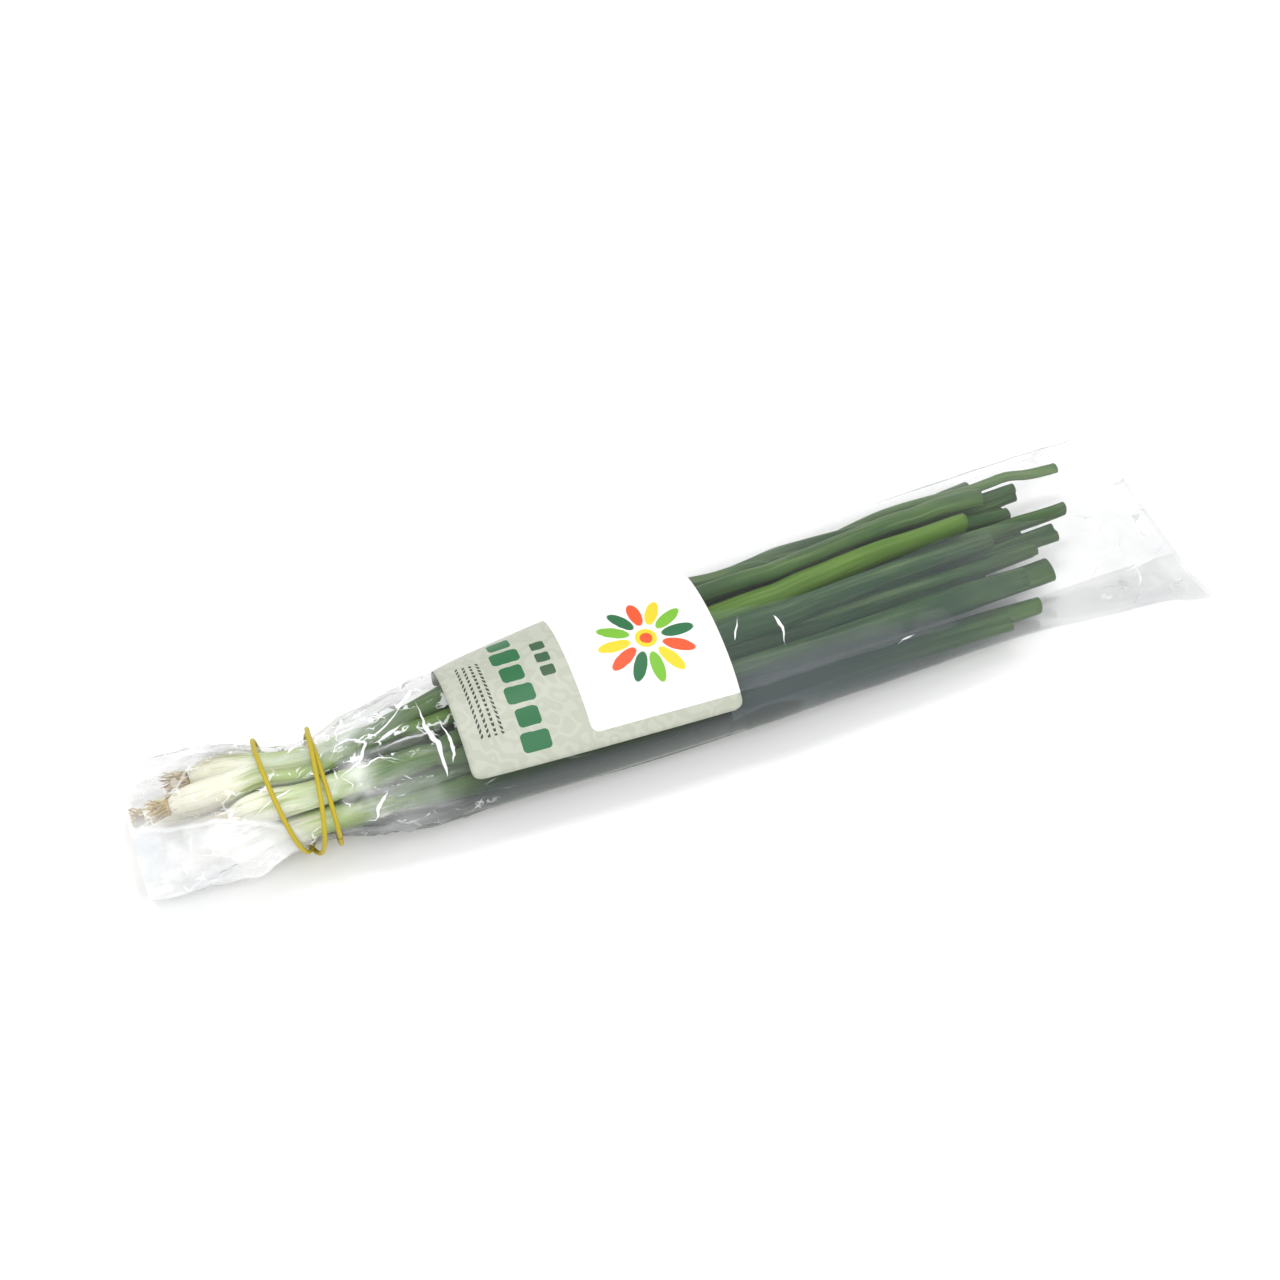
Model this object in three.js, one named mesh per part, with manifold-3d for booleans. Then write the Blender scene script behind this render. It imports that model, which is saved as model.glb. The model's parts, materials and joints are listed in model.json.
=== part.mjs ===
// A bunch of six spring onions lying in a sleeve of clear film. A paper label is stuck on the film,
// and a rubber band is wound three times round the neck, where it gathers film and onions together.
// Millimetres, +Z up. X runs along the bunch, from the roots (-X) to the cut leaf ends (+X), and -Y
// is the side that shows the label. The origin is on the table, under the middle of the sleeve.
import * as THREE from "three";
import { mergeVertices } from "three/addons/utils/BufferGeometryUtils.js";
import Module from "manifold-3d";

const wasm = await Module();
wasm.setup();

// Driving dimensions.
const FILM_WALL = 0.5; // two gathered layers of film with the air between them
const CLEARANCE = 0.35; // between things that touch
const SHANK_RADIUS = 5.1;
const BULB_RADIUS = 6.5;
const LEAF_RADIUS = 4.9;
const LEAF_WALL = 1.1;
const LEAF_HOLLOW = 9; // depth that is left open at a cut leaf end
const ROOT_COUNT = 9;
const ROOT_RADIUS = 0.5;
const ROOT_LENGTH = 7;
const BAND_CENTRE_X = -156;
const BAND_WANDER = 10; // how far the turns stray to each side along the bunch
const BAND_TURNS = 3;
const BAND_RADIUS = 0.9;
const LABEL_LENGTH = 105;
const LABEL_WIDTH = 74;
const LABEL_THICKNESS = 0.3;
const LABEL_START_X = -97;
const LABEL_LOW_ANGLES = [151, 160]; // its lower edge in the cross-section at both ends, in degrees
const LABEL_CORNER = 3;

// Cross-sections of the sleeve: an ellipse with centre (y, z) and half axes a and b, cut flat where
// it meets the table.
const SECTIONS = [
  { x: -220, y: -7, z: 12, a: 27, b: 12 },
  { x: -196, y: -10.5, z: 16.5, a: 27.5, b: 16.9 },
  { x: -178, y: -14.4, z: 19.8, a: 24.6, b: 18 },
  { x: -160, y: -17.6, z: 22, a: 20.4, b: 17.1 },
  { x: -146, y: -18, z: 22, a: 20.4, b: 17.1 },
  { x: -118, y: -16.5, z: 21, a: 25.5, b: 20 },
  { x: -85, y: -14, z: 21, a: 31, b: 21.8 },
  { x: -20, y: -11.2, z: 22, a: 35.8, b: 23.3 },
  { x: 60, y: -8.5, z: 21, a: 37.2, b: 22.3 },
  { x: 120, y: -4.5, z: 18.8, a: 39.5, b: 20 },
  { x: 175, y: -1, z: 13, a: 43, b: 14 },
  { x: 220, y: 0.6, z: 7.6, a: 46.9, b: 8.2 },
];

// The six plants. root is the end of the bulb, neck the place under the rubber band, collar the X at
// which the leaves part, and tips are the cut ends of its leaves, each with the leaf's fullness.
const PLANTS = [
  {
    root: [-203, -6, 22],
    neck: [-10, 31],
    collar: -122,
    tips: [[143, 33, 20, 1.06], [141, 25, 24, 1], [126, 8, 29, 1.12]],
  },
  {
    root: [-214, 2, 10],
    neck: [-9, 10],
    collar: -115,
    tips: [[157, 11, 14, 0.95], [138, 4, 8, 1.05], [150, 18, 9, 1.1]],
  },
  {
    root: [-194, 3, 20],
    neck: [-5, 20],
    collar: -130,
    tips: [[151, 15, 22, 1.08], [161, 22, 19, 0.95], [184, 30, 16, 0.6]],
  },
  {
    root: [-202, -12, 9],
    neck: [-18, 20],
    collar: -119,
    tips: [[175, 8.5, 18, 0.8], [167, 0, 17, 1], [132, -5, 8, 1.1]],
  },
  {
    root: [-190, -26, 13],
    neck: [-31, 19],
    collar: -127,
    tips: [[156, -15, 17, 1.2], [146, -29, 9, 1.05], [128, -34, 14, 1]],
  },
  {
    root: [-184, -20, 23],
    neck: [-25, 30],
    collar: -112,
    tips: [[152, -8, 18, 1.05], [140, -22, 22, 1.1], [133, -4, 26, 1.1]],
  },
];

const SLANT_ALLOWANCE = 1.05; // slanting bulbs are a little wider across the bunch
const BULB_PROFILE = [
  [0, 0.5],
  [3, 0.8],
  [9, 1],
  [16, 0.97],
  [26, 0.84],
];
const SHANK_SETTLES = 40; // distance from the root end at which the bulb has become a plain shank

const FIRST_X = -220;
const STATION_STEP = 10;
const STATION_COUNT = 42;
const stationX = (k) => FIRST_X + STATION_STEP * k;

// A smooth curve of one value of a table over X, with the slopes of its neighbours.
function smoothValue(table, key, x) {
  const last = table.length - 1;
  let i = 0;
  while (i < last - 1 && x > table[i + 1].x) i += 1;
  const slope = (j) => {
    const lo = table[Math.max(j - 1, 0)];
    const hi = table[Math.min(j + 1, last)];
    return (hi[key] - lo[key]) / (hi.x - lo.x);
  };
  const span = table[i + 1].x - table[i].x;
  const t = (x - table[i].x) / span;
  const t2 = t * t;
  const t3 = t2 * t;
  return (
    (2 * t3 - 3 * t2 + 1) * table[i][key] +
    (t3 - 2 * t2 + t) * span * slope(i) +
    (3 * t2 - 2 * t3) * table[i + 1][key] +
    (t3 - t2) * span * slope(i + 1)
  );
}

const sectionAt = (x) => ({
  y: smoothValue(SECTIONS, "y", x),
  z: smoothValue(SECTIONS, "z", x),
  a: smoothValue(SECTIONS, "a", x),
  b: smoothValue(SECTIONS, "b", x),
});

// A point of the sleeve at X and an angle round it, moved outwards by lift along the surface normal.
function filmPoint(x, angle, lift) {
  const s = sectionAt(x);
  const ny = Math.cos(angle) / s.a;
  const nz = Math.sin(angle) / s.b;
  const size = Math.hypot(ny, nz);
  const y = s.y + s.a * Math.cos(angle) + (lift * ny) / size;
  const z = s.z + s.b * Math.sin(angle) + (lift * nz) / size;
  return [y, Math.max(z, -lift)];
}

// Radius of a plant's bulb and shank at a distance from its root end.
function shankRadius(distance) {
  const d = Math.max(distance, 0);
  const shank = SHANK_RADIUS / BULB_RADIUS;
  const knots = [...BULB_PROFILE, [SHANK_SETTLES, shank], [400, shank]];
  const i = knots.findIndex((knot, n) => n > 0 && d <= knot[0]);
  const [d0, r0] = knots[i - 1];
  const [d1, r1] = knots[i];
  return BULB_RADIUS * (r0 + ((r1 - r0) * (d - d0)) / (d1 - d0));
}

// Radius of a leaf: slim at the collar, full further on, and a little narrower at its cut end.
function leafRadius(fullness, distance, length) {
  const t = Math.min(Math.max(distance / 70, 0), 1);
  const grown = 0.6 + 0.4 * t * t * (3 - 2 * t);
  const share = Math.min(distance / length, 1.2);
  return LEAF_RADIUS * fullness * grown * (1 - 0.16 * share * share);
}

// One strand: the plain centres and radii of a shank or a leaf at the stations that it passes.
function strandOf(plant, first, last, radiusAt, homeAt) {
  const strand = { plant, first, last, home: [], radius: [], at: [] };
  for (let k = first; k <= last; k += 1) {
    strand.home.push(homeAt(stationX(k)));
    strand.at.push(homeAt(stationX(k)));
    strand.radius.push(radiusAt(stationX(k)));
  }
  return strand;
}

const between = (p, q, t) => [p[0] + (q[0] - p[0]) * t, p[1] + (q[1] - p[1]) * t];

// Every shank and leaf in the place where it would like to be.
function layOut() {
  const strands = [];
  PLANTS.forEach((plant, p) => {
    const [rootX, ...root] = plant.root;
    const first = Math.ceil((rootX - FIRST_X) / STATION_STEP);
    const collar = Math.round((plant.collar - FIRST_X) / STATION_STEP);
    const toNeck = (x) => Math.min((x - rootX) / (BAND_CENTRE_X - rootX), 1);
    const shank = strandOf(
      p,
      first,
      collar,
      (x) => shankRadius(x - rootX) * (x < BAND_CENTRE_X + 15 ? SLANT_ALLOWANCE : 1),
      (x) => between(root, plant.neck, toNeck(x)),
    );
    shank.leaves = plant.tips.map(([tipX, tipY, tipZ, fullness]) => {
      const length = tipX - plant.collar;
      const last = Math.ceil((tipX - FIRST_X) / STATION_STEP) + 1;
      const leaf = strandOf(
        p,
        collar + 1,
        Math.min(last, STATION_COUNT - 1),
        (x) => leafRadius(fullness, x - plant.collar, length),
        (x) => between(plant.neck, [tipY, tipZ], Math.min((x - plant.collar) / length, 1)),
      );
      return Object.assign(leaf, { parent: shank, tip: [tipX, tipY, tipZ], fullness });
    });
    strands.push(shank, ...shank.leaves);
  });
  return strands;
}

const WALL_POINTS = 48;
const walls = Array.from({ length: STATION_COUNT }, (_, k) =>
  Array.from({ length: WALL_POINTS }, (_, m) =>
    filmPoint(stationX(k), (2 * Math.PI * m) / WALL_POINTS, -FILM_WALL),
  ),
);

// Pushes the strands at one station apart, and back inside the film. Leaves of one plant are close
// together for a few stations after the collar.
function separate(strands, k) {
  const PARTING = 4;
  const here = strands.filter((s) => s.first <= k && k <= s.last);
  const push = here.map(() => [0, 0]);
  here.forEach((s, i) => {
    const c = s.at[k - s.first];
    for (let j = i + 1; j < here.length; j += 1) {
      const other = here[j];
      const d = other.at[k - other.first];
      const joined = s.plant === other.plant && k < s.first + PARTING;
      const gap = joined ? -0.8 : CLEARANCE + 0.3;
      const need = s.radius[k - s.first] + other.radius[k - other.first] + gap;
      const away = [d[0] - c[0], d[1] - c[1] + 1e-4 * (j - i)];
      const far = Math.hypot(...away) + 1e-6;
      if (far < need) {
        const share = (0.5 * (need - far)) / far;
        push[i] = [push[i][0] - away[0] * share, push[i][1] - away[1] * share];
        push[j] = [push[j][0] + away[0] * share, push[j][1] + away[1] * share];
      }
    }
  });
  here.forEach((s, i) => {
    const c = s.at[k - s.first];
    c[0] += 0.7 * push[i][0];
    c[1] += 0.7 * push[i][1];
    const section = sectionAt(stationX(k));
    const out = Math.hypot((c[0] - section.y) / section.a, (c[1] - section.z) / section.b);
    if (out > 0.95) {
      c[0] = section.y + ((c[0] - section.y) * 0.95) / out;
      c[1] = section.z + ((c[1] - section.z) * 0.95) / out;
    }
    const reach = s.radius[k - s.first] + CLEARANCE + 0.55;
    let near = reach;
    let wall = null;
    for (const point of walls[k]) {
      const far = Math.hypot(c[0] - point[0], c[1] - point[1]);
      if (far < near) [near, wall] = [far, point];
    }
    if (wall) {
      c[0] += ((c[0] - wall[0]) * (reach - near)) / near;
      c[1] += ((c[1] - wall[1]) * (reach - near)) / near;
    }
  });
}

// Carries the leaves outwards from their collars, station by station, so that none jumps over
// another on its way.
function grow(strands) {
  const CLOSEST = 5; // stations within which a leaf may not turn all the way to its tip
  for (let k = 0; k < STATION_COUNT; k += 1) {
    for (const s of strands) {
      if (k > s.last || k < s.first || (k === s.first && !s.parent)) continue;
      const before = k > s.first ? s.at[k - s.first - 1] : s.parent.at[s.parent.at.length - 1];
      const c = s.at[k - s.first];
      if (s.parent) {
        const toTip = (s.tip[0] - stationX(k - 1)) / STATION_STEP;
        const next = between(before, s.tip.slice(1), 1 / Math.max(toTip, CLOSEST));
        if (k === s.first) {
          const aim = [s.tip[1] - before[0], s.tip[2] - before[1]];
          const far = Math.hypot(...aim);
          next[0] = before[0] + (2.5 * aim[0]) / far;
          next[1] = before[1] + (2.5 * aim[1]) / far;
        }
        [c[0], c[1]] = next;
      } else if (stationX(k) > BAND_CENTRE_X) {
        const was = sectionAt(stationX(k - 1));
        const now = sectionAt(stationX(k));
        c[0] = now.y + ((before[0] - was.y) * now.a) / was.a;
        c[1] = now.z + ((before[1] - was.z) * now.b) / was.b;
      }
    }
    for (let round = 0; round < 80; round += 1) separate(strands, k);
  }
}

// Lets the strands settle side by side: each bends as little as it can and sinks a little.
function settle(strands) {
  const ROUNDS = 420;
  const CLOSING_ROUNDS = 200;
  const STIFFNESS = 0.45;
  const SINK = 0.012;
  grow(strands);
  for (let round = 0; round < ROUNDS + CLOSING_ROUNDS; round += 1) {
    if (round < ROUNDS) {
      const before = new Map(strands.map((s) => [s, s.at.map((c) => [...c])]));
      for (const s of strands) {
        const old = before.get(s);
        const parent = s.parent && before.get(s.parent);
        s.at.forEach((c, i) => {
          const prev = i > 0 ? old[i - 1] : parent ? parent[parent.length - 1] : null;
          let next = i < old.length - 1 ? old[i + 1] : null;
          if (!next && s.leaves) {
            const starts = s.leaves.map((leaf) => before.get(leaf)[0]);
            const mean = (axis) => starts.reduce((sum, c0) => sum + c0[axis], 0) / starts.length;
            next = [mean(0), mean(1)];
          }
          const x = stationX(s.first + i);
          const held = s.parent ? x > s.tip[0] - 50 : x < BAND_CENTRE_X + 5;
          const pull = held ? 0.05 : 0.002;
          for (const axis of [0, 1]) {
            if (prev && next) {
              c[axis] += STIFFNESS * ((prev[axis] + next[axis]) / 2 - old[i][axis]);
            }
            c[axis] += pull * (s.home[i][axis] - old[i][axis]);
          }
          c[1] -= SINK;
        });
      }
    }
    for (let k = 0; k < STATION_COUNT; k += 1) separate(strands, k);
  }
}

// Centre of a strand at any X, smooth through its stations. A leaf starts along its shank, and
// beyond its outermost stations a strand runs straight on.
function strandPoint(strand, x) {
  const place = (x - stationX(strand.first)) / STATION_STEP;
  const last = strand.at.length - 1;
  const below = strand.parent ? 1 - strand.parent.at.length : 0;
  const i = Math.min(Math.max(Math.floor(place), below), last - 1);
  const t = place - i;
  const at = (n) => {
    if (n >= 0 && n <= last) return strand.at[n];
    if (n < 0 && strand.parent) return strand.parent.at[strand.parent.at.length + n];
    const [edge, inner] = n < 0 ? [0, 1] : [last, last - 1];
    return [0, 1].map((axis) => 2 * strand.at[edge][axis] - strand.at[inner][axis]);
  };
  const value = (axis) => {
    const [p0, p1, p2, p3] = [at(i - 1), at(i), at(i + 1), at(i + 2)].map((p) => p[axis]);
    if (t < 0) return p1 + (p2 - p0) * 0.5 * t;
    if (t > 1) return p2 + (p3 - p1) * 0.5 * (t - 1);
    return (
      p1 +
      0.5 * t * (p2 - p0 + t * (2 * p0 - 5 * p1 + 4 * p2 - p3 + t * (3 * (p1 - p2) + p3 - p0)))
    );
  };
  return [value(0), value(1)];
}

// Bends a lathe about Y, whose heights are X positions, so that its axis follows a centre line.
function bendAlong(geometry, centreAt) {
  const position = geometry.getAttribute("position");
  for (let i = 0; i < position.count; i += 1) {
    const x = position.getY(i);
    const [y, z] = centreAt(x);
    const [y1, z1] = centreAt(x + 1);
    const [y0, z0] = centreAt(x - 1);
    const lean = (position.getZ(i) * (y1 - y0) + position.getX(i) * (z1 - z0)) / 2;
    position.setXYZ(i, x - lean, y + position.getZ(i), z + position.getX(i));
  }
  return geometry;
}

// A closed three.js geometry as a solid that can be joined or cut, and back again.
function solidOf(geometry) {
  const bare = geometry.clone();
  bare.deleteAttribute("normal");
  bare.deleteAttribute("uv");
  const merged = mergeVertices(bare, 1e-3);
  const mesh = new wasm.Mesh({
    numProp: 3,
    vertProperties: merged.getAttribute("position").array,
    triVerts: new Uint32Array(merged.index.array),
  });
  return new wasm.Manifold(mesh);
}

function geometryOf(solid) {
  const mesh = solid.getMesh();
  const geometry = new THREE.BufferGeometry();
  geometry.setAttribute("position", new THREE.BufferAttribute(mesh.vertProperties, 3));
  geometry.setIndex(new THREE.BufferAttribute(mesh.triVerts, 1));
  geometry.computeVertexNormals();
  return geometry;
}

function lathe(profile, sides) {
  const points = profile.map(([radius, x]) => new THREE.Vector2(radius, x));
  return new THREE.LatheGeometry(points, sides);
}

// Bulb and shank of one plant, closed by a dome between the leaves.
function shankSolid(plant, strand) {
  const root = plant.root[0];
  const profile = [[0, root]];
  const bulbSteps = BULB_PROFILE.map(([distance]) => distance);
  for (const distance of [...bulbSteps, SHANK_SETTLES]) {
    profile.push([shankRadius(distance), root + distance]);
  }
  const end = stationX(strand.last);
  let x = root + SHANK_SETTLES;
  while (x < end - 24) {
    x += x < BAND_CENTRE_X + 25 ? 8 : 20;
    profile.push([SHANK_RADIUS, x]);
  }
  profile.push([SHANK_RADIUS * 0.96, end], [SHANK_RADIUS * 0.5, end + 8], [0, end + 9]);
  return solidOf(bendAlong(lathe(profile, 10), (x) => strandPoint(strand, x)));
}

// One tubular leaf, from inside the shank to its cut end, which is open for a short way.
function leafSolid(plant, strand) {
  const start = stationX(strand.first);
  const end = strand.tip[0];
  const length = end - plant.collar;
  const radiusAt = (x) => leafRadius(strand.fullness, x - plant.collar, length);
  const profile = [[0, start - 24], [radiusAt(start) * 0.8, start - 22]];
  for (let x = start; x < end - 12; x += x < start + 40 ? 10 : 14) {
    profile.push([radiusAt(x), x]);
  }
  profile.push(
    [radiusAt(end), end],
    [radiusAt(end) - LEAF_WALL, end],
    [radiusAt(end) - LEAF_WALL, end - LEAF_HOLLOW],
    [0, end - LEAF_HOLLOW],
  );
  return solidOf(bendAlong(lathe(profile, 8), (x) => strandPoint(strand, x)));
}

// The root plate with its trimmed roots, which splay out from its rim and its middle.
function rootsSolid(plant, strand) {
  const centre = (x) => strandPoint(strand, x);
  const plateRadius = BULB_RADIUS * 0.5;
  const plateX = plant.root[0] - CLEARANCE;
  const plate = lathe(
    [
      [0, plateX - 1.6],
      [plateRadius * 0.7, plateX - 1.6],
      [plateRadius, plateX - 0.6],
      [plateRadius * 0.9, plateX],
      [0, plateX],
    ],
    10,
  );
  let tuft = solidOf(bendAlong(plate, centre));
  for (let n = 0; n < ROOT_COUNT; n += 1) {
    const turn = n * 2.4;
    const out = plateRadius * 0.85 * Math.sqrt((n + 0.5) / ROOT_COUNT);
    const length = Math.min(ROOT_LENGTH * (0.7 + 0.3 * Math.sin(3 * n)), plateX - 0.8 + 219);
    const hair = new THREE.CylinderGeometry(ROOT_RADIUS, ROOT_RADIUS * 0.6, length, 3, 2);
    const position = hair.getAttribute("position");
    for (let i = 0; i < position.count; i += 1) {
      const along = 0.5 - position.getY(i) / length;
      const splay = out + along * along * 1.6;
      const aside = position.getZ(i) + splay * Math.cos(turn);
      const up = position.getX(i) + splay * Math.sin(turn);
      position.setXYZ(i, up, plateX - 0.8 - along * length, aside);
    }
    tuft = tuft.add(solidOf(bendAlong(hair, centre)));
  }
  return tuft;
}

// The sleeve of film, open at both ends.
function sleeveGeometry() {
  const AROUND = 28;
  const rowsAt = [-220, -206, -192, -180, -170, -162, -154, -146, -136, -122, -105, -85, -60];
  rowsAt.push(-25, 15, 55, 95, 135, 175, 220);
  const ALONG = rowsAt.length;
  const tube = new THREE.TorusGeometry(1, 1, 2 * ALONG, AROUND);
  const position = tube.getAttribute("position");
  const rows = 2 * ALONG + 1;
  const columns = AROUND + 1;
  for (let j = 0; j < rows; j += 1) {
    // Rows run along the outside of the film, and back along its inside.
    const row = j % (2 * ALONG);
    const inside = row >= ALONG;
    const step = inside ? 2 * ALONG - 1 - row : row;
    const x = rowsAt[step];
    for (let i = 0; i < columns; i += 1) {
      const angle = -Math.PI / 2 + (2 * Math.PI * (i % AROUND)) / AROUND;
      const [y, z] = filmPoint(x, angle, inside ? -FILM_WALL : 0);
      position.setXYZ(j * columns + i, x, y, z);
    }
  }
  return tube;
}

// One endless band, wound three times round the neck, so that each turn crosses the two others.
function bandGeometry() {
  const STEPS = 78;
  const SIDES = 6;
  const RISE = 1.15; // half the difference in height between two turns that cross
  const MIDDLE_X = BAND_CENTRE_X - 2.5;
  const TOP_CROSSING = THREE.MathUtils.degToRad(50);
  const base = CLEARANCE + 0.1 + BAND_RADIUS;
  const centre = (u) => {
    const phase = 2 * Math.PI * u;
    const angle = TOP_CROSSING + BAND_TURNS * phase;
    // Two turns cross at the top of the neck and two at the bottom.
    const stray = 1 / 3 - Math.cos(phase) - Math.cos(2 * phase) / 3;
    const x = MIDDLE_X + BAND_WANDER * stray;
    const [y, z] = filmPoint(x, angle, base + RISE * (1 - Math.sin(phase)));
    return new THREE.Vector3(x, y, z);
  };
  const band = new THREE.TorusGeometry(1, BAND_RADIUS, SIDES, STEPS);
  const position = band.getAttribute("position");
  for (let j = 0; j <= SIDES; j += 1) {
    for (let i = 0; i <= STEPS; i += 1) {
      const u = (i % STEPS) / STEPS;
      const around = (2 * Math.PI * (j % SIDES)) / SIDES;
      const middle = centre(u);
      const forward = centre(u + 0.002).sub(centre(u - 0.002)).normalize();
      const side = new THREE.Vector3(1, 0, 0).addScaledVector(forward, -forward.x).normalize();
      const out = new THREE.Vector3().crossVectors(forward, side);
      middle.addScaledVector(side, BAND_RADIUS * Math.sin(around));
      middle.addScaledVector(out, BAND_RADIUS * Math.cos(around));
      position.setXYZ(j * (STEPS + 1) + i, middle.x, middle.y, middle.z);
    }
  }
  return band;
}

// The angle round the sleeve at which a tape laid upwards from the label's lower edge measures a
// given length.
function labelAngle(x, length) {
  const STEP = 0.01;
  const [start, end] = LABEL_LOW_ANGLES;
  const low = start + ((end - start) * (x - LABEL_START_X)) / LABEL_LENGTH;
  let angle = THREE.MathUtils.degToRad(low);
  let measured = 0;
  const { a, b } = sectionAt(x);
  while (measured < length) {
    measured += STEP * Math.hypot(a * Math.sin(angle), b * Math.cos(angle));
    angle -= STEP;
  }
  return angle;
}

// The paper label, bent round the film, with its corners cut.
function labelGeometry() {
  const label = new THREE.BoxGeometry(LABEL_LENGTH, LABEL_WIDTH, LABEL_THICKNESS, 8, 20, 1);
  const position = label.getAttribute("position");
  for (let i = 0; i < position.count; i += 1) {
    let along = position.getX(i) + LABEL_LENGTH / 2;
    let up = position.getY(i) + LABEL_WIDTH / 2;
    const atCorner = along % LABEL_LENGTH === 0 && up % LABEL_WIDTH === 0;
    if (atCorner) {
      const cut = LABEL_CORNER * (1 - Math.SQRT1_2);
      along += along > 0 ? -cut : cut;
      up += up > 0 ? -cut : cut;
    }
    const x = LABEL_START_X + along;
    const lift = CLEARANCE + 0.1 + LABEL_THICKNESS / 2 + position.getZ(i);
    const [y, z] = filmPoint(x, labelAngle(x, up), lift);
    position.setXYZ(i, x, y, z);
  }
  return label;
}

const MATERIALS = {
  onion: new THREE.MeshStandardMaterial({ color: 0x4f7a3a, roughness: 0.45, metalness: 0 }),
  roots: new THREE.MeshStandardMaterial({ color: 0xb59a6a, roughness: 0.9, metalness: 0 }),
  film: new THREE.MeshStandardMaterial({
    color: 0xe6ebee,
    roughness: 0.12,
    metalness: 0,
    transparent: true,
    opacity: 0.25,
  }),
  band: new THREE.MeshStandardMaterial({ color: 0xc9ad1c, roughness: 0.5, metalness: 0 }),
  paper: new THREE.MeshStandardMaterial({ color: 0xd5ddcb, roughness: 0.6, metalness: 0 }),
};

function named(name, geometry, material) {
  const mesh = new THREE.Mesh(geometry, material);
  mesh.name = name;
  return mesh;
}

const strands = layOut();
settle(strands);

const bunch = new THREE.Group();
PLANTS.forEach((plant, p) => {
  const shank = strands.find((s) => s.plant === p && !s.parent);
  let solid = shankSolid(plant, shank);
  for (const leaf of shank.leaves) solid = solid.add(leafSolid(plant, leaf));
  const name = `spring_onion_${p + 1}`;
  bunch.add(named(name, geometryOf(solid), MATERIALS.onion));
  bunch.add(named(`${name}_roots`, geometryOf(rootsSolid(plant, shank)), MATERIALS.roots));
});
bunch.add(named("film_sleeve", sleeveGeometry(), MATERIALS.film));
bunch.add(named("rubber_band", bandGeometry(), MATERIALS.band));
bunch.add(named("paper_label", labelGeometry(), MATERIALS.paper));

export default bunch;
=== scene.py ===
# The looks of a bunch of spring onions in a sleeve of clear film, with a rubber band round its neck
# and a paper label. Lengths are worked out in millimetres and set in metres.
import json
import math
import random

import bmesh
import bpy
import numpy as np
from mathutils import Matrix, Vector, noise

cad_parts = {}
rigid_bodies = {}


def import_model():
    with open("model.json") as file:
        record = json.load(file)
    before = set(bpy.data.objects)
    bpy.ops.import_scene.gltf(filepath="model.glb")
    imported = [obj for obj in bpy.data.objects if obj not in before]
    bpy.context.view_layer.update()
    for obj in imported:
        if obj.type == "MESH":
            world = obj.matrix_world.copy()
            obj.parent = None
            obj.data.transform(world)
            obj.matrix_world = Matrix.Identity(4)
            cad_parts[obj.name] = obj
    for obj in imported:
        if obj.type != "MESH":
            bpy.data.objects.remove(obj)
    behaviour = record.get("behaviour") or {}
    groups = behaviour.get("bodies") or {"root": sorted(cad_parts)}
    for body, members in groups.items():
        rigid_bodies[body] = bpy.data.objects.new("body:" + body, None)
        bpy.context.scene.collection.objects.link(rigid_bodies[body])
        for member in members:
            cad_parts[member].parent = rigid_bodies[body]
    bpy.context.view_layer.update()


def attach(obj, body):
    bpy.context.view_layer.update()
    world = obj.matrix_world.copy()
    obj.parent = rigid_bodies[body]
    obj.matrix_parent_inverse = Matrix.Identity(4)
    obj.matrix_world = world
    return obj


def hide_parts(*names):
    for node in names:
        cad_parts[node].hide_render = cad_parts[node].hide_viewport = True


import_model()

MM = 0.001

# The bunch's own sizes, as in its solids.
FILM_WALL = 0.5
CLEARANCE = 0.35
SHANK_RADIUS = 5.1
BULB_RADIUS = 6.5
LEAF_RADIUS = 4.9
SLANT_ALLOWANCE = 1.05
BAND_CENTRE_X = -156
BAND_WANDER = 10
BAND_TURNS = 3
BAND_RADIUS = 0.9
ROOT_BASE_X = -203
FILM_END_X = -219
LABEL_LENGTH = 105
LABEL_WIDTH = 74
LABEL_START_X = -97
LABEL_LOW_ANGLES = (151, 160)

# Cross-sections of the sleeve: X, the ellipse's centre Y and Z, and its half axes.
SECTIONS = [
    (-220, -7, 12, 27, 12),
    (-196, -10.5, 16.5, 27.5, 16.9),
    (-178, -14.4, 19.8, 24.6, 18),
    (-160, -17.6, 22, 20.4, 17.1),
    (-146, -18, 22, 20.4, 17.1),
    (-118, -16.5, 21, 25.5, 20),
    (-85, -14, 21, 31, 21.8),
    (-20, -11.2, 22, 35.8, 23.3),
    (60, -8.5, 21, 37.2, 22.3),
    (120, -4.5, 18.8, 39.5, 20),
    (175, -1, 13, 43, 14),
    (220, 0.6, 7.6, 46.9, 8.2),
]

# The six plants: root end, place under the band, X of the collar, and the leaves' cut ends with how
# full each leaf is.
PLANTS = [
    ((-203, -6, 22), (-10, 31), -122, [(143, 33, 20, 1.06), (141, 25, 24, 1), (126, 8, 29, 1.12)]),
    ((-214, 2, 10), (-9, 10), -115, [(157, 11, 14, 0.95), (138, 4, 8, 1.05), (150, 18, 9, 1.1)]),
    ((-194, 3, 20), (-5, 20), -130, [(151, 15, 22, 1.08), (161, 22, 19, 0.95), (184, 30, 16, 0.6)]),
    ((-202, -12, 9), (-18, 20), -119, [(175, 8.5, 18, 0.8), (167, 0, 17, 1), (132, -5, 8, 1.1)]),
    ((-190, -26, 13), (-31, 19), -127, [(156, -15, 17, 1.2), (146, -29, 9, 1.05), (128, -34, 14, 1)]),
    ((-184, -20, 23), (-25, 30), -112, [(152, -8, 18, 1.05), (140, -22, 22, 1.1), (133, -4, 26, 1.1)]),
]

BULB_PROFILE = [(0, 0.5), (3, 0.8), (9, 1), (16, 0.97), (26, 0.84), (40, 0.785), (400, 0.785)]

FIRST_X = -220
STATION_STEP = 10
STATION_COUNT = 42


def station_x(k):
    return FIRST_X + STATION_STEP * k


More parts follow.
